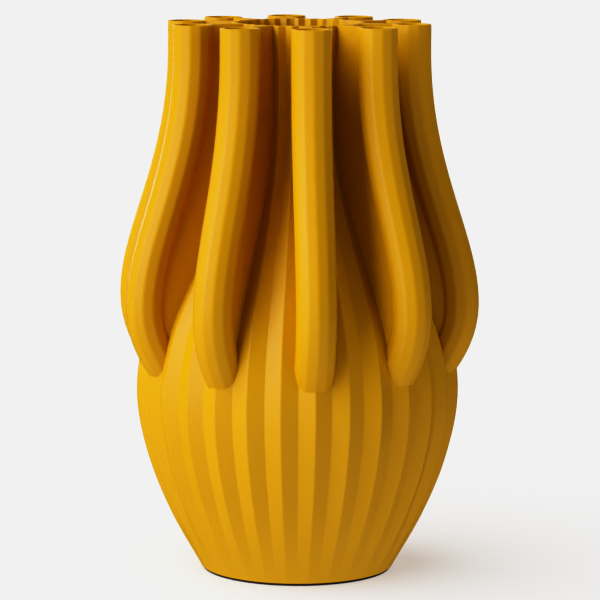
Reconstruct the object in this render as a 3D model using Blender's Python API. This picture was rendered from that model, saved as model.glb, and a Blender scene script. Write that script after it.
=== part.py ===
"""Fluted vase with ten hollow stem tubes, for Blender 4.5 (metres, +Z up).

The origin is the centre of the underside, on the surface the vase stands on. The vessel is a
zigzag-fluted shell with a narrow neck. Ten twelve-sided tubes plug into ports in its wall, bulge
outwards and rise to end level with the neck's rim. An upright web fills the space between each tube
and the flute behind it. A thin dark pad lies under the floor.
"""

import math

import bmesh
import bpy
from mathutils import Matrix, Vector
from mathutils.geometry import interpolate_bezier

MM = 0.001

# Driving dimensions
HEIGHT = 280 * MM
TUBE_COUNT = 10
FLUTES_PER_TUBE = 3
FLUTE_LEAST = 1.5 * MM
FLUTE_SHARE = 0.0165
FLUTE_FADE = 45 * MM
VESSEL_WALL = 2.0 * MM
FLOOR_THICKNESS = 3.0 * MM
TUBE_RADIUS = 10.13 * MM
TUBE_WALL = 1.6 * MM
TUBE_SIDES = 12
PAD_RADIUS = 48.5 * MM
PAD_THICKNESS = 1.1 * MM
PAD_BEVEL = 0.25 * MM
FIT_GAP = 0.3 * MM

FLUTE_COUNT = TUBE_COUNT * FLUTES_PER_TUBE
BASE_HEIGHT = PAD_THICKNESS + FIT_GAP
FLOOR_TOP = BASE_HEIGHT + FLOOR_THICKNESS
TUBE_STEP = math.tau / TUBE_COUNT
FRONT = -math.pi / 2

# The vessel's outer ridge line: (height, radius) where its curve is steered
RIDGE_LINE = [
    (BASE_HEIGHT, 49.4 * MM),
    (30 * MM, 65.4 * MM),
    (60 * MM, 77.3 * MM),
    (93 * MM, 82.5 * MM),
    (125 * MM, 77.0 * MM),
    (160 * MM, 59.9 * MM),
    (188 * MM, 45.6 * MM),
    (210 * MM, 36.7 * MM),
    (232 * MM, 32.6 * MM),
    (254 * MM, 32.2 * MM),
    (HEIGHT, 33.9 * MM),
]
OUTER_RINGS = 24
INNER_RINGS = 16

# A tube's centre line, as (radius from the axis, height)
TUBE_RIM = (57.9 * MM, HEIGHT)
TUBE_NECK = (57.9 * MM, 268 * MM)
TUBE_BULGE = (83.5 * MM, 139 * MM)
TUBE_ROOT = (60.0 * MM, 96 * MM)
NECK_PULL = 61 * MM
BULGE_PULL_UP = 36.2 * MM
BULGE_PULL_DOWN = 18.5 * MM
ROOT_PULL = (10.8 * MM, 9.0 * MM)
UPPER_STATIONS = 9
LOWER_STATIONS = 6

# The core that trims the tubes' lower ends flush with the vessel's inner wall
CORE_BOTTOM = 70 * MM
CORE_TOP = 160 * MM
CORE_RINGS = 8
CORE_SIDES = 60

# A web is as wide as a flute at the vessel; at the tube its half-width changes with height
WEB_WIDE = (170 * MM, 6.0 * MM)
WEB_NARROW = (HEIGHT, 1.5 * MM)
WEB_MARGIN = 0.4 * MM
OVERSHOOT = 1.0 * MM

YELLOW = (0.80, 0.40, 0.010, 1.0)
BLACK = (0.012, 0.011, 0.010, 1.0)
SHARP_ANGLE = math.radians(12)


def clear_scene():
    for obj in list(bpy.data.objects):
        bpy.data.objects.remove(obj, do_unlink=True)


def make_material(name, colour, roughness):
    material = bpy.data.materials.new(name)
    material.use_nodes = True
    shader = material.node_tree.nodes["Principled BSDF"]
    shader.inputs["Base Color"].default_value = colour
    shader.inputs["Roughness"].default_value = roughness
    shader.inputs["Metallic"].default_value = 0.0
    return material


def curve_radius(outline, height):
    """The radius at a height on the smooth curve through an outline of (height, radius) points."""
    last = len(outline) - 1
    steps = [outline[i + 1][0] - outline[i][0] for i in range(last)]
    slopes = [(outline[i + 1][1] - outline[i][1]) / steps[i] for i in range(last)]
    tangents = [slopes[0]]
    for i in range(1, last):
        blend = slopes[i - 1] * steps[i] + slopes[i] * steps[i - 1]
        tangents.append(blend / (steps[i] + steps[i - 1]))
    tangents.append(slopes[-1])
    i = 0
    while i < last - 1 and height > outline[i + 1][0]:
        i += 1
    t = (height - outline[i][0]) / steps[i]
    start = (2 * t**3 - 3 * t**2 + 1) * outline[i][1] + (t**3 - 2 * t**2 + t) * steps[i] * tangents[i]
    end = (3 * t**2 - 2 * t**3) * outline[i + 1][1] + (t**3 - t**2) * steps[i] * tangents[i + 1]
    return start + end


def flute_depth(height):
    """How far a valley lies inside its ridge: nothing at the base, deepest where the vessel is widest."""
    full = FLUTE_LEAST + FLUTE_SHARE * curve_radius(RIDGE_LINE, height)
    return full * min(1.0, (height - BASE_HEIGHT) / FLUTE_FADE)


def spaced(start, end, count):
    return [start + (end - start) * i / (count - 1) for i in range(count)]


def fluted_ring(mesh, height, inset, lift=0):
    """A ring of ridge and valley points by turns, a ridge at the front. It can be lifted off its height."""
    ridge = curve_radius(RIDGE_LINE, height) - inset
    valley = ridge - flute_depth(height)
    ring = []
    for i in range(2 * FLUTE_COUNT):
        radius = valley if i % 2 else ridge
        angle = FRONT + i * math.pi / FLUTE_COUNT
        point = (radius * math.cos(angle), radius * math.sin(angle), height + lift)
        ring.append(mesh.verts.new(point))
    return ring


def join_rings(mesh, lower, upper):
    """Faces between two rings of equal length, facing out where the lower ring is given first."""
    for i in range(len(lower)):
        j = (i + 1) % len(lower)
        mesh.faces.new((lower[i], lower[j], upper[j], upper[i]))


def finish_object(name, mesh, material):
    """Turns a bmesh into a named object with outward faces and smooth shading between sharp edges."""
    bmesh.ops.recalc_face_normals(mesh, faces=mesh.faces)
    data = bpy.data.meshes.new(name)
    mesh.to_mesh(data)
    mesh.free()
    data.materials.append(material)
    data.shade_smooth()
    data.set_sharp_from_angle(angle=SHARP_ANGLE)
    obj = bpy.data.objects.new(name, data)
    bpy.context.scene.collection.objects.link(obj)
    return obj


def make_cutter(name, mesh, material):
    cutter = finish_object(name, mesh, material)
    cutter.hide_render = True
    cutter.display_type = "WIRE"
    return cutter


def cut_away(obj, cutter):
    modifier = obj.modifiers.new("cut " + cutter.name, "BOOLEAN")
    modifier.operation = "DIFFERENCE"
    modifier.solver = "EXACT"
    modifier.object = cutter


def tube_centre_line():
    """Points from the root to the rim in the XZ plane, x being the distance from the vase's axis."""
    root, bulge, neck, rim = (Vector((r, 0, z)) for r, z in (TUBE_ROOT, TUBE_BULGE, TUBE_NECK, TUBE_RIM))
    down = Vector((0, 0, -1))
    root_handle = root + Vector((ROOT_PULL[0], 0, ROOT_PULL[1]))
    lower = interpolate_bezier(root, root_handle, bulge + BULGE_PULL_DOWN * down, bulge, LOWER_STATIONS)
    upper = interpolate_bezier(
        bulge, bulge - BULGE_PULL_UP * down, neck + NECK_PULL * down, neck, UPPER_STATIONS
    )
    return [Vector(point) for point in lower] + [Vector(point) for point in upper[1:]] + [rim]


def ring_axes(points):
    """The axes of a tube's rings: along its centre line below the bulge, upright from the bulge up."""
    up = Vector((0, 0, 1))
    axes = [(points[1] - points[0]).normalized()]
    for before, point, after in zip(points, points[1:], points[2:]):
        axes.append((after - before).normalized() if point.z < TUBE_BULGE[1] else up)
    axes.append(up)
    return axes


def tube_ring(mesh, centre, axis, radius):
    """A twelve-sided ring square to its axis, one corner pointing away from the vase."""
    sideways = Vector((0, 1, 0))
    outwards = sideways.cross(axis)
    ring = []
    for i in range(TUBE_SIDES):
        angle = i * math.tau / TUBE_SIDES
        arm = math.cos(angle) * outwards + math.sin(angle) * sideways
        ring.append(mesh.verts.new(centre + radius * arm))
    return ring


def sweep(mesh, points, radius):
    rings = [tube_ring(mesh, *station, radius) for station in zip(points, ring_axes(points))]
    for lower, upper in zip(rings, rings[1:]):
        join_rings(mesh, lower, upper)
    return rings


def make_vessel(material):
    mesh = bmesh.new()
    outer = [fluted_ring(mesh, z, 0) for z in spaced(BASE_HEIGHT, HEIGHT, OUTER_RINGS)]
    inner = [fluted_ring(mesh, z, VESSEL_WALL) for z in spaced(FLOOR_TOP, HEIGHT, INNER_RINGS)]
    for rings in (outer, inner):
        for lower, upper in zip(rings, rings[1:]):
            join_rings(mesh, lower, upper)
    join_rings(mesh, inner[-1], outer[-1])
    mesh.faces.new(outer[0])
    mesh.faces.new(inner[0])
    return finish_object("vessel", mesh, material)


def make_port_cutter(number, turn, material):
    """The lower part of a tube's outline, larger by the fit gap, that opens the vessel's wall."""
    mesh = bmesh.new()
    points = tube_centre_line()[: LOWER_STATIONS + 2]
    rings = sweep(mesh, points, TUBE_RADIUS + FIT_GAP / math.cos(math.pi / TUBE_SIDES))
    mesh.faces.new(rings[0])
    mesh.faces.new(rings[-1])
    cutter = make_cutter(f"port_cutter_{number:02d}", mesh, material)
    cutter.matrix_world = turn
    return cutter


def make_core(material):
    """A round solid that fills the middle of the vessel at the height of the ports."""
    mesh = bmesh.new()
    rings = []
    for z in spaced(CORE_BOTTOM, CORE_TOP, CORE_RINGS):
        radius = curve_radius(RIDGE_LINE, z) - flute_depth(z) - VESSEL_WALL
        ring = []
        for i in range(CORE_SIDES):
            angle = FRONT + i * math.tau / CORE_SIDES
            ring.append(mesh.verts.new((radius * math.cos(angle), radius * math.sin(angle), z)))
        rings.append(ring)
    for lower, upper in zip(rings, rings[1:]):
        join_rings(mesh, lower, upper)
    mesh.faces.new(rings[0])
    mesh.faces.new(rings[-1])
    return make_cutter("cavity_core", mesh, material)


def make_tube(number, turn, core, material):
    """One hollow tube, turned to its place, its lower end trimmed at the vessel's inner wall."""
    mesh = bmesh.new()
    points = tube_centre_line()
    outer = sweep(mesh, points, TUBE_RADIUS)
    inner = sweep(mesh, points, TUBE_RADIUS - TUBE_WALL / math.cos(math.pi / TUBE_SIDES))
    join_rings(mesh, inner[-1], outer[-1])
    join_rings(mesh, outer[0], inner[0])
    tube = finish_object(f"tube_{number:02d}", mesh, material)
    tube.matrix_world = turn
    cut_away(tube, core)


def make_vessel_margin(material):
    """The vessel's outline above the tubes' bulges, a little larger, that the webs' inner edges follow."""
    mesh = bmesh.new()
    heights = [z for z in spaced(BASE_HEIGHT, HEIGHT, OUTER_RINGS) if z > TUBE_ROOT[1]]
    rings = [fluted_ring(mesh, z, -WEB_MARGIN) for z in heights]
    rings.append(fluted_ring(mesh, HEIGHT, -WEB_MARGIN, OVERSHOOT))
    for lower, upper in zip(rings, rings[1:]):
        join_rings(mesh, lower, upper)
    mesh.faces.new(rings[0])
    mesh.faces.new(rings[-1])
    return make_cutter("vessel_margin", mesh, material)


def make_tube_margin(number, turn, material):
    """A tube's outline from below its bulge to above its rim, larger by the fit gap."""
    mesh = bmesh.new()
    points = tube_centre_line()[LOWER_STATIONS - 2 :]
    points.append(points[-1] + Vector((0, 0, OVERSHOOT)))
    rings = sweep(mesh, points, TUBE_RADIUS + FIT_GAP / math.cos(math.pi / TUBE_SIDES))
    mesh.faces.new(rings[0])
    mesh.faces.new(rings[-1])
    cutter = make_cutter(f"tube_margin_{number:02d}", mesh, material)
    cutter.matrix_world = turn
    return cutter


def web_half_width(height):
    """Half a web's width where it meets its tube: narrow at the rim and wide from the lower height down."""
    share = min(1.0, (WEB_NARROW[0] - height) / (WEB_NARROW[0] - WEB_WIDE[0]))
    return WEB_NARROW[1] + share * (WEB_WIDE[1] - WEB_NARROW[1])


def make_web(number, turn, cutters, material):
    """The web between one tube and the flute behind it, from valley to valley, up to the rim."""
    mesh = bmesh.new()
    half_flute = math.pi / FLUTE_COUNT
    rings = []
    for point in tube_centre_line()[LOWER_STATIONS - 1 :]:
        valley = curve_radius(RIDGE_LINE, point.z) - flute_depth(point.z)
        inner, wide = valley * math.cos(half_flute), valley * math.sin(half_flute)
        half = web_half_width(point.z)
        corners = ((inner, -wide), (point.x, -half), (point.x, half), (inner, wide))
        rings.append([mesh.verts.new((x, y, point.z)) for x, y in corners])
    for lower, upper in zip(rings, rings[1:]):
        join_rings(mesh, lower, upper)
    mesh.faces.new(rings[0])
    mesh.faces.new(rings[-1])
    web = finish_object(f"web_{number:02d}", mesh, material)
    web.matrix_world = turn
    for cutter in cutters:
        cut_away(web, cutter)


def make_pad(material):
    mesh = bmesh.new()
    profile = [
        (PAD_RADIUS - PAD_BEVEL, 0),
        (PAD_RADIUS, PAD_BEVEL),
        (PAD_RADIUS, PAD_THICKNESS - PAD_BEVEL),
        (PAD_RADIUS - PAD_BEVEL, PAD_THICKNESS),
    ]
    rings = []
    for radius, z in profile:
        ring = []
        for i in range(2 * FLUTE_COUNT):
            angle = FRONT + i * math.pi / FLUTE_COUNT
            ring.append(mesh.verts.new((radius * math.cos(angle), radius * math.sin(angle), z)))
        rings.append(ring)
    for lower, upper in zip(rings, rings[1:]):
        join_rings(mesh, lower, upper)
    mesh.faces.new(rings[0])
    mesh.faces.new(rings[-1])
    finish_object("base_pad", mesh, material)


def main():
    clear_scene()
    yellow = make_material("yellow_plastic", YELLOW, 0.45)
    black = make_material("black_pad", BLACK, 0.8)
    vessel = make_vessel(yellow)
    core = make_core(yellow)
    vessel_margin = make_vessel_margin(yellow)
    for index in range(TUBE_COUNT):
        number = index + 1
        turn = Matrix.Rotation(FRONT + index * TUBE_STEP, 4, "Z")
        make_tube(number, turn, core, yellow)
        cut_away(vessel, make_port_cutter(number, turn, yellow))
        make_web(number, turn, (vessel_margin, make_tube_margin(number, turn, yellow)), yellow)
    make_pad(black)


main()
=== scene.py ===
"""Looks of the fluted vase with ten hollow stem tubes (Blender 4.5, metres, +Z up).

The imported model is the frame. The vessel, the tubes and the webs between them are built again here
as finer meshes in satin yellow printed plastic, the vessel and the tubes with rounded arrises and
lips, and stand in for the plain CAD solids. The base pad keeps its CAD mesh and is matt black.
The vase stands on a pale floor in soft light that comes mostly from the left.
"""

import math

import bpy
import numpy as np
from mathutils import Matrix, Vector
from mathutils.geometry import interpolate_bezier


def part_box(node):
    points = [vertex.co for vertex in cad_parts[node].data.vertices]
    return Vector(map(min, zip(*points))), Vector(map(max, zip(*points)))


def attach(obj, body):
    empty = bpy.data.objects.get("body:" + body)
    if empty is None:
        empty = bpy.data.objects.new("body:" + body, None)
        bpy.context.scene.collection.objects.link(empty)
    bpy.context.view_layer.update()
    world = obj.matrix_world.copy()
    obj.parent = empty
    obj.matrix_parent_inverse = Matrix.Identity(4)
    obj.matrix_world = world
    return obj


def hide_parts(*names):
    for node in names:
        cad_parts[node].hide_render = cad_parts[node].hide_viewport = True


MM = 0.001

# ---------------------------------------------------------------- vessel dimensions
FRONT = -math.pi / 2
FLUTE_COUNT = 30
FLUTE_LEAST = 1.5 * MM
FLUTE_SHARE = 0.0165
FLUTE_FADE = 45 * MM
VESSEL_WALL = 2.0 * MM
FLOOR_THICKNESS = 3.0 * MM
RIDGE_ROUNDING = 0.6 * MM
VALLEY_ROUNDING = 0.35 * MM
LIP = 0.3 * MM
BASE_EDGE = 0.12 * MM
SKIN_LEVELS = 110
LINING_LEVELS = 80

# ---------------------------------------------------------------- tube dimensions
TUBE_COUNT = 10
TUBE_RADIUS = 10.13 * MM
TUBE_WALL = 1.6 * MM
TUBE_SIDES = 12
TUBE_ROUNDING = 1.0 * MM
TUBE_STATIONS = 40
RIM_OUT = 57.9 * MM
STRAIGHT_FROM = 268 * MM
BULGE = (83.5 * MM, 139 * MM)
ROOT = (60.0 * MM, 96 * MM)
# How far the curves' handles stand from the root, below and above the bulge, and below the straight end
ROOT_HANDLE = (10.8 * MM, 9.0 * MM)
BULGE_HANDLE_DOWN = 18.5 * MM
BULGE_HANDLE_UP = 36.2 * MM
STRAIGHT_HANDLE = 61 * MM

# The ports cut through the vessel's wall, and the core cut out of the tubes' inner ends
PORT_BITE = 0.35 * MM
PORT_STATIONS = 22
CORE_LOW, CORE_HIGH = 70 * MM, 165 * MM
CORE_LEVELS = 24
CORE_SIDES = 90

# ---------------------------------------------------------------- web dimensions
WEB_BITE = 0.6 * MM
WEB_FOOT = 112 * MM
WEB_POINTS = 7
# (height, half width at the tube)
WEB_WIDE = (130 * MM, 7.6 * MM)
WEB_NARROW = (280 * MM, 1.5 * MM)
FLUSH = 0.03 * MM

SHARP_ANGLE = math.radians(40)

# ---------------------------------------------------------------- materials
YELLOW = (0.54, 0.265, 0.0004, 1)
YELLOW_ROUGHNESS = 0.42
YELLOW_SPECULAR = 0.18
LAYER_HEIGHT = 0.5 * MM
LAYER_RELIEF = 0.05 * MM
LAYER_STRENGTH = 0.25
BLACK = (0.012, 0.011, 0.010, 1)
BLACK_ROUGHNESS = 0.85
FLOOR_COLOUR = (0.92, 0.92, 0.92, 1)
FLOOR_HALF = 12.0

# ---------------------------------------------------------------- light
CAMERA_AZIMUTH = math.radians(-6.316)
SUNS = [
    # name, azimuth, height, spread, energy
    ("key", -50, 8, 40, 2.62),
    ("side", -74, 44, 48, 3.3),
    ("back", 175, 34, 50, 2.0),
    ("left_rim", -150, 8, 30, 0.7),
    ("right_rim", 158, 8, 20, 0.35),
    ("fill", 62, 4, 40, 0.95),
]
SUNS_WITHOUT_SHINE = ("back", "fill")
TABLE_SUN = ("table", -78, 58, 95, 3.8)
AMBIENT = 0.02
BACKDROP = 1.05
FLOOR_BOUNCE = 1.06
FLOOR_SHADE = 0.66
FLOOR_GLOW = 1.2
# (light, shown light)
TONE_CURVE = [(0.04, 0.016), (0.11, 0.066), (0.19, 0.14), (0.45, 0.435), (0.8, 0.785), (1.0, 0.88)]
ALL_CHANNELS = 3

# ---------------------------------------------------------------- camera
CAMERA_DISTANCE = 1.6602
CAMERA_HEIGHT = 0.3818
CAMERA_PITCH = math.radians(8.346)
CAMERA_YAW = math.radians(0.040)
CAMERA_ROLL = math.radians(-0.213)
CAMERA_LENS = 197.04
CAMERA_SENSOR = 36
CAMERA_REACH = 100


def curve_radius(outline, height):
    """The radius at a height on the smooth curve through an outline of (height, radius) points."""
    last = len(outline) - 1
    steps = [outline[i + 1][0] - outline[i][0] for i in range(last)]
    slopes = [(outline[i + 1][1] - outline[i][1]) / steps[i] for i in range(last)]
    tangents = [slopes[0]]
    for i in range(1, last):
        blend = slopes[i - 1] * steps[i] + slopes[i] * steps[i - 1]
        tangents.append(blend / (steps[i] + steps[i - 1]))
    tangents.append(slopes[-1])
    i = 0
    while i < last - 1 and height > outline[i + 1][0]:
        i += 1
    t = (height - outline[i][0]) / steps[i]
    start = (2 * t**3 - 3 * t**2 + 1) * outline[i][1] + (t**3 - 2 * t**2 + t) * steps[i] * tangents[i]
    end = (3 * t**2 - 2 * t**3) * outline[i + 1][1] + (t**3 - t**2) * steps[i] * tangents[i + 1]
    return start + end


def ring(radii, angles, height):
    """Points at one height, at the given radii and angles round the vase's axis."""
    return np.stack([radii * np.cos(angles), radii * np.sin(angles), np.full(len(angles), height)], axis=1)


def rounded_loop(corners, cuts):
    """A closed loop with a three-point arc at each corner. Cuts says how far back each arc starts."""
    before = np.roll(corners, 1, axis=0) - corners
    after = np.roll(corners, -1, axis=0) - corners
    before /= np.linalg.norm(before, axis=1)[:, None]
    after /= np.linalg.norm(after, axis=1)[:, None]
    start = corners + before * cuts[:, None]
    end = corners + after * cuts[:, None]
    middle = start / 4 + corners / 2 + end / 4
    return np.stack([start, middle, end], axis=1).reshape(-1, 3)


def mesh_from_loops(name, loops, capped):
    """A mesh through loops of equal length, capped at both ends or closed from the last to the first."""
    count = len(loops[0])
    points = np.concatenate(loops)
    faces = []
    pairs = list(zip(range(len(loops) - 1), range(1, len(loops))))
    if not capped:
        pairs.append((len(loops) - 1, 0))
    for low, high in pairs:
        for i in range(count):
            j = (i + 1) % count
            faces.append((low * count + i, low * count + j, high * count + j, high * count + i))
    if capped:
        faces.append(tuple(range(count))[::-1])
        faces.append(tuple(range((len(loops) - 1) * count, len(loops) * count)))
    data = bpy.data.meshes.new(name)
    data.from_pydata(points.tolist(), [], faces)
    data.validate()
    data.update()
    return data


def add_piece(name, data, material):
    obj = bpy.data.objects.new(name, data)
    bpy.context.scene.collection.objects.link(obj)
    data.materials.clear()
    data.materials.append(material)
    data.shade_smooth()
    return obj


def stand_in(obj, node):
    """Puts a yellow piece in the place of a CAD node."""
    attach(obj, "root")
    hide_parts(node)


# ---------------------------------------------------------------- vessel
def flute_depth(ridge_line, base, height):
    """How far a valley lies inside its ridge: nothing at the base, deepest where the vessel is widest."""
    full = FLUTE_LEAST + FLUTE_SHARE * curve_radius(ridge_line, height)
    return full * min(1.0, (height - base) / FLUTE_FADE)


def fluted_loop(ridge_line, base, height, inset):
    """One level of the vessel: ridges and valleys in turn, a ridge at the front."""
    ridge = curve_radius(ridge_line, height) - inset
    valley = ridge - flute_depth(ridge_line, base, height)
    corner = np.arange(2 * FLUTE_COUNT)
    is_ridge = corner % 2 == 0
    corners = ring(np.where(is_ridge, ridge, valley), FRONT + corner * math.pi / FLUTE_COUNT, height)
    return rounded_loop(corners, np.where(is_ridge, RIDGE_ROUNDING, VALLEY_ROUNDING))


def vessel_mesh(ridge_line, base, top):
    """The vessel's skin: up the outside, over the lip and down the inside to the floor."""
    loops = [fluted_loop(ridge_line, base, base, 2 * LIP), fluted_loop(ridge_line, base, base, BASE_EDGE)]
    for height in np.linspace(base + BASE_EDGE, top - LIP, SKIN_LEVELS):
        loops.append(fluted_loop(ridge_line, base, height, 0))
    loops.append(fluted_loop(ridge_line, base, top, LIP))
    loops.append(fluted_loop(ridge_line, base, top, VESSEL_WALL - LIP))
    for height in np.linspace(top - LIP, base + FLOOR_THICKNESS, LINING_LEVELS):
        loops.append(fluted_loop(ridge_line, base, height, VESSEL_WALL))
    return mesh_from_loops("vessel_skin", loops, capped=True)


# ---------------------------------------------------------------- tubes
def tube_line(top):
    """The centre line from the root to the rim, in the XZ plane, as two curves and a straight end."""
    rim = Vector((RIM_OUT, 0, top))
    straight = Vector((RIM_OUT, 0, STRAIGHT_FROM))
    bulge = Vector((BULGE[0], 0, BULGE[1]))
    root = Vector((ROOT[0], 0, ROOT[1]))
    root_handle = root + Vector((ROOT_HANDLE[0], 0, ROOT_HANDLE[1]))
    below = bulge - Vector((0, 0, BULGE_HANDLE_DOWN))
    above = bulge + Vector((0, 0, BULGE_HANDLE_UP))
    straight_handle = straight - Vector((0, 0, STRAIGHT_HANDLE))
    lower = interpolate_bezier(root, root_handle, below, bulge, TUBE_STATIONS // 3)
    upper = interpolate_bezier(bulge, above, straight_handle, straight, TUBE_STATIONS)
    return np.array([Vector(p) for p in lower] + [Vector(p) for p in upper[1:]] + [rim])


def directions(line):
    """The line's direction at each point, taken as upright from the bulge up."""
    tangents = np.gradient(line, axis=0)
    tangents[int(np.argmax(line[:, 0])) :] = (0, 0, 1)
    return tangents


def sweep_loops(line, radius):
    """Twelve-sided loops with rounded corners, one corner pointing away from the vase's axis.

    They stand square to the line below the bulge and lie level from the bulge up.
    """
    tangents = directions(line)
    tangents /= np.linalg.norm(tangents, axis=1)[:, None]
    sideways = np.array((0, 1, 0))
    turns = np.arange(TUBE_SIDES) * math.tau / TUBE_SIDES
    loops = []
    for centre, tangent in zip(line, tangents):
        outwards = np.cross(sideways, tangent)
        corners = centre + radius * (np.outer(np.cos(turns), outwards) + np.outer(np.sin(turns), sideways))
        loops.append(rounded_loop(corners, np.full(TUBE_SIDES, TUBE_ROUNDING)))
    return loops


def tube_mesh(line):
    """A tube's skin: up the outside, over the lip and down the bore, open at both ends."""
    bore = TUBE_RADIUS - TUBE_WALL / math.cos(math.pi / TUBE_SIDES)
    outer = sweep_loops(line, TUBE_RADIUS)
    inner = sweep_loops(line, bore)
    lip_outer = sweep_loops(line, TUBE_RADIUS - LIP)[-1]
    lip_inner = sweep_loops(line, bore + LIP)[-1]
    outer[-1] = outer[-1] - np.array((0, 0, LIP))
    inner[-1] = inner[-1] - np.array((0, 0, LIP))
    return mesh_from_loops("tube_skin", outer + [lip_outer, lip_inner] + inner[::-1], capped=False)


def port_mesh(line):
    """The lower end of a tube as a solid, a little slimmer than the tube. It opens the vessel's wall."""
    return mesh_from_loops("port", sweep_loops(line[:PORT_STATIONS], TUBE_RADIUS - PORT_BITE), capped=True)


def core_mesh(ridge_line, base):
    """A round solid that fills the vessel's hollow behind the tubes. It trims their inner ends."""
    angles = FRONT + np.arange(CORE_SIDES) * math.tau / CORE_SIDES
    loops = []
    for height in np.linspace(CORE_LOW, CORE_HIGH, CORE_LEVELS):
        radius = curve_radius(ridge_line, height) - flute_depth(ridge_line, base, height) - VESSEL_WALL
        loops.append(ring(radius, angles, height))
    return mesh_from_loops("core", loops, capped=True)


# ---------------------------------------------------------------- webs
def web_mesh(ridge_line, base, line, top):
    """The solid between a flute of the vessel and the tube in front of it, its ends inside both walls.

    It spans the flute from valley to valley. Where it meets the tube it widens from the rim down.
    """
    half_flute = math.pi / FLUTE_COUNT
    middle_of_wall = TUBE_RADIUS - TUBE_WALL / 2
    slants = directions(line)
    # A level cut through a tube that leans is longer than the tube is thick
    stretches = np.linalg.norm(slants, axis=1) / slants[:, 2]
    loops = []
    for (x, _, height), stretch in zip(line, stretches):
        if height < WEB_FOOT:
            continue
        z = min(height, top - FLUSH)
        valley = curve_radius(ridge_line, height) - flute_depth(ridge_line, base, height)
        inner, wide = valley * math.cos(half_flute), valley * math.sin(half_flute)
        share = min(1.0, (WEB_NARROW[0] - height) / (WEB_NARROW[0] - WEB_WIDE[0]))
        half = WEB_NARROW[1] + share * (WEB_WIDE[1] - WEB_NARROW[1])
        across = np.linspace(-half, half, WEB_POINTS)
        along = np.maximum(x - stretch * np.sqrt(middle_of_wall**2 - across**2), inner - WEB_BITE / 2)
        # The sides keep their slope on the last stretch into the vessel's wall
        bite = WEB_BITE * (wide - half) / max(along[0] - inner, WEB_BITE)
        start = [(inner - WEB_BITE, wide + bite, z), (inner - WEB_BITE, -wide - bite, z)]
        loops.append(np.array(start + [(a, b, z) for a, b in zip(along, across)]))
    return mesh_from_loops("web_skin", loops, capped=True)


def apply_cut(obj, cutters):
    """Cuts solids out of a piece and keeps the result as its mesh."""
    for cutter in cutters:
        modifier = obj.modifiers.new("cut", "BOOLEAN")
        modifier.operation = "DIFFERENCE"
        modifier.solver = "EXACT"
        modifier.object = cutter
    graph = bpy.context.evaluated_depsgraph_get()
    data = bpy.data.meshes.new_from_object(obj.evaluated_get(graph), depsgraph=graph)
    obj.modifiers.clear()
    obj.data = data


# ---------------------------------------------------------------- materials
def new_material(name):
    material = bpy.data.materials.new(name)
    material.use_nodes = True
    return material, material.node_tree.nodes, material.node_tree.links


def printed_plastic():
    """Satin yellow, with the print's layers as a fine ripple up the vase."""
    material, nodes, links = new_material("yellow_printed_plastic")
    shader = nodes["Principled BSDF"]
    shader.inputs["Base Color"].default_value = YELLOW
    shader.inputs["Roughness"].default_value = YELLOW_ROUGHNESS
    shader.inputs["Specular IOR Level"].default_value = YELLOW_SPECULAR
    place = nodes.new("ShaderNodeTexCoord")
    split = nodes.new("ShaderNodeSeparateXYZ")
    links.new(place.outputs["Object"], split.inputs[0])
    layers = nodes.new("ShaderNodeMath")
    layers.operation = "MULTIPLY"
    layers.inputs[1].default_value = math.tau / LAYER_HEIGHT
    links.new(split.outputs["Z"], layers.inputs[0])
    wave = nodes.new("ShaderNodeMath")
    wave.operation = "SINE"
    links.new(layers.outputs[0], wave.inputs[0])
    bump = nodes.new("ShaderNodeBump")
    bump.inputs["Strength"].default_value = LAYER_STRENGTH
    bump.inputs["Distance"].default_value = LAYER_RELIEF
    links.new(wave.outputs[0], bump.inputs["Height"])
    links.new(bump.outputs[0], shader.inputs["Normal"])
    return material


def matt_black():
    # Near-black and matt, for the thin pad under the base. It shows as a dark line below the base's edge.
    material, nodes, _ = new_material("matt_black")
    shader = nodes["Principled BSDF"]
    shader.inputs["Base Color"].default_value = BLACK
    shader.inputs["Roughness"].default_value = BLACK_ROUGHNESS
    return material


def pale_floor():
    """A floor that the camera sees as pale, with faint shadows.

    To light that left a matt surface it's an even glow, and to all other light it's black.
    """
    material, nodes, links = new_material("pale_floor")
    nodes.remove(nodes["Principled BSDF"])
    path = nodes.new("ShaderNodeLightPath")
    matt_only = nodes.new("ShaderNodeMath")
    matt_only.operation = "MULTIPLY"
    matt_only.inputs[1].default_value = FLOOR_BOUNCE
    links.new(path.outputs["Is Diffuse Ray"], matt_only.inputs[0])
    bounce = nodes.new("ShaderNodeEmission")
    links.new(matt_only.outputs[0], bounce.inputs["Strength"])
    shaded = nodes.new("ShaderNodeBsdfDiffuse")
    shaded.inputs["Color"].default_value = FLOOR_COLOUR
    glow = nodes.new("ShaderNodeEmission")
    glow.inputs["Strength"].default_value = FLOOR_GLOW
    seen = nodes.new("ShaderNodeMixShader")
    seen.inputs["Fac"].default_value = FLOOR_SHADE
    links.new(glow.outputs[0], seen.inputs[1])
    links.new(shaded.outputs[0], seen.inputs[2])
    either = nodes.new("ShaderNodeMixShader")
    links.new(path.outputs["Is Camera Ray"], either.inputs["Fac"])
    links.new(bounce.outputs[0], either.inputs[1])
    links.new(seen.outputs[0], either.inputs[2])
    links.new(either.outputs[0], nodes["Material Output"].inputs["Surface"])
    return material


# ---------------------------------------------------------------- light and camera
def studio_world():
    """White to the camera, and nearly dark to everything else."""
    studio = bpy.data.worlds.new("studio")
    studio.use_nodes = True
    nodes, links = studio.node_tree.nodes, studio.node_tree.links
    path = nodes.new("ShaderNodeLightPath")
    strength = nodes.new("ShaderNodeMapRange")
    strength.inputs["To Min"].default_value = AMBIENT
    strength.inputs["To Max"].default_value = BACKDROP
    links.new(path.outputs["Is Camera Ray"], strength.inputs["Value"])
    links.new(strength.outputs[0], nodes["Background"].inputs["Strength"])
    nodes["Background"].inputs["Color"].default_value = (1, 1, 1, 1)
    return studio


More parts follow.
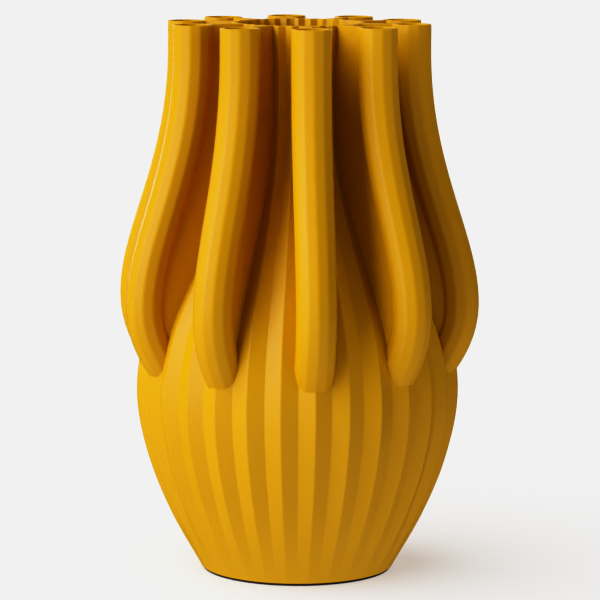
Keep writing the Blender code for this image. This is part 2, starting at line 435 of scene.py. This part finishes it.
def add_sun(name, azimuth, height, spread, energy):
    """A distant light. Azimuth is measured from the camera's side, to the right; all angles in degrees."""
    data = bpy.data.lights.new(name, "SUN")
    data.energy = energy
    data.angle = math.radians(spread)
    sun = bpy.data.objects.new(name, data)
    turn = CAMERA_AZIMUTH + math.radians(azimuth)
    rise = math.radians(height)
    source = Vector((math.sin(turn) * math.cos(rise), -math.cos(turn) * math.cos(rise), math.sin(rise)))
    sun.rotation_mode = "QUATERNION"
    sun.rotation_quaternion = source.to_track_quat("Z", "Y")
    bpy.context.scene.collection.objects.link(sun)
    return sun


def limit_light(sun, obj, state):
    """Lets a light fall on one object only (INCLUDE), or on everything else (EXCLUDE)."""
    lit = bpy.data.collections.new(f"lit_by_{sun.name}")
    lit.objects.link(obj)
    lit.collection_objects[0].light_linking.link_state = state
    sun.light_linking.receiver_collection = lit


def add_floor():
    corners = [(x * FLOOR_HALF, y * FLOOR_HALF, 0) for x, y in ((-1, -1), (1, -1), (1, 1), (-1, 1))]
    data = bpy.data.meshes.new("floor")
    data.from_pydata(corners, [], [(0, 1, 2, 3)])
    data.materials.append(pale_floor())
    obj = bpy.data.objects.new("floor", data)
    bpy.context.scene.collection.objects.link(obj)
    return obj


def add_camera():
    """The camera stands about 1.7 m away, a little above the vase, and looks down through a long lens."""
    data = bpy.data.cameras.new("camera")
    data.sensor_width = CAMERA_SENSOR
    data.lens = CAMERA_LENS
    data.clip_end = CAMERA_REACH
    obj = bpy.data.objects.new("camera", data)
    obj.location = (
        math.sin(CAMERA_AZIMUTH) * CAMERA_DISTANCE,
        -math.cos(CAMERA_AZIMUTH) * CAMERA_DISTANCE,
        CAMERA_HEIGHT,
    )
    look = Matrix.Rotation(CAMERA_AZIMUTH - CAMERA_YAW, 4, "Z")
    look = look @ Matrix.Rotation(math.pi / 2 - CAMERA_PITCH, 4, "X")
    look = look @ Matrix.Rotation(-CAMERA_ROLL, 4, "Z")
    obj.rotation_euler = look.to_euler()
    bpy.context.scene.collection.objects.link(obj)
    return obj


def set_tone_curve():
    """A toe that deepens the shade and a shoulder that holds the brightest yellow."""
    settings = bpy.context.scene.view_settings
    settings.view_transform = "Standard"
    settings.use_curve_mapping = True
    tones = settings.curve_mapping
    tones.extend = "HORIZONTAL"
    curve = tones.curves[ALL_CHANNELS]
    curve.points[-1].location = TONE_CURVE[-1]
    for light, shown in TONE_CURVE[:-1]:
        curve.points.new(light, shown)
    tones.update()


# ---------------------------------------------------------------- the vase
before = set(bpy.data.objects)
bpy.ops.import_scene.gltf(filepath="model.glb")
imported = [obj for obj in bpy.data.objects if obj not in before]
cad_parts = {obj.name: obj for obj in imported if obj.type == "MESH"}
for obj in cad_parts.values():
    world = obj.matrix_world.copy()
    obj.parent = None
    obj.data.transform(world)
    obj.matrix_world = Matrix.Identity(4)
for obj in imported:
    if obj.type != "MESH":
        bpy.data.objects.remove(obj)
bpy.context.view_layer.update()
vessel_low, vessel_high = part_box("vessel")
BASE = vessel_low.z
TOP = vessel_high.z

# (height, radius over the ridges), from the base to the rim
RIDGE_LINE = [
    (BASE, 49.4 * MM),
    (30 * MM, 65.4 * MM),
    (60 * MM, 77.3 * MM),
    (93 * MM, 82.5 * MM),
    (125 * MM, 77.0 * MM),
    (160 * MM, 59.9 * MM),
    (188 * MM, 45.6 * MM),
    (210 * MM, 36.7 * MM),
    (232 * MM, 32.6 * MM),
    (254 * MM, 32.2 * MM),
    (TOP, 33.9 * MM),
]

yellow = printed_plastic()
line = tube_line(TOP)
tube_data = tube_mesh(line)
web_data = web_mesh(RIDGE_LINE, BASE, line, TOP)
port_data = port_mesh(line)

vessel = add_piece("vessel_body", vessel_mesh(RIDGE_LINE, BASE, TOP), yellow)
core = add_piece("core", core_mesh(RIDGE_LINE, BASE), yellow)
ports = []
tubes = []
webs = []
for index in range(TUBE_COUNT):
    turn = Matrix.Rotation(FRONT + index * math.tau / TUBE_COUNT, 4, "Z")
    ports.append(add_piece(f"port_{index}", port_data.copy(), yellow))
    tubes.append(add_piece(f"stem_tube_{index + 1:02d}", tube_data.copy(), yellow))
    webs.append(add_piece(f"stem_web_{index + 1:02d}", web_data.copy(), yellow))
    for obj in (ports[-1], tubes[-1], webs[-1]):
        obj.data.transform(turn)
apply_cut(vessel, ports)
for tube in tubes:
    apply_cut(tube, [core])
for helper in ports + [core]:
    bpy.data.objects.remove(helper, do_unlink=True)

for obj in [vessel] + tubes:
    obj.data.shade_smooth()
    obj.data.set_sharp_from_angle(angle=SHARP_ANGLE)
    weighted = obj.modifiers.new("flat faces", "WEIGHTED_NORMAL")
    weighted.keep_sharp = True
for web in webs:
    web.data.shade_flat()

stand_in(vessel, "vessel")
for index, tube in enumerate(tubes):
    stand_in(tube, f"tube_{index + 1:02d}")
for index, web in enumerate(webs):
    stand_in(web, f"web_{index + 1:02d}")

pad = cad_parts["base_pad"]
pad.data.materials.clear()
pad.data.materials.append(matt_black())

# ---------------------------------------------------------------- stage
floor = add_floor()

bpy.context.scene.world = studio_world()
for name, azimuth, height, spread, energy in SUNS:
    sun = add_sun(name, azimuth, height, spread, energy)
    sun.visible_glossy = name not in SUNS_WITHOUT_SHINE
    limit_light(sun, floor, "EXCLUDE")
limit_light(add_sun(*TABLE_SUN), floor, "INCLUDE")

bpy.context.scene.camera = add_camera()
set_tone_curve()
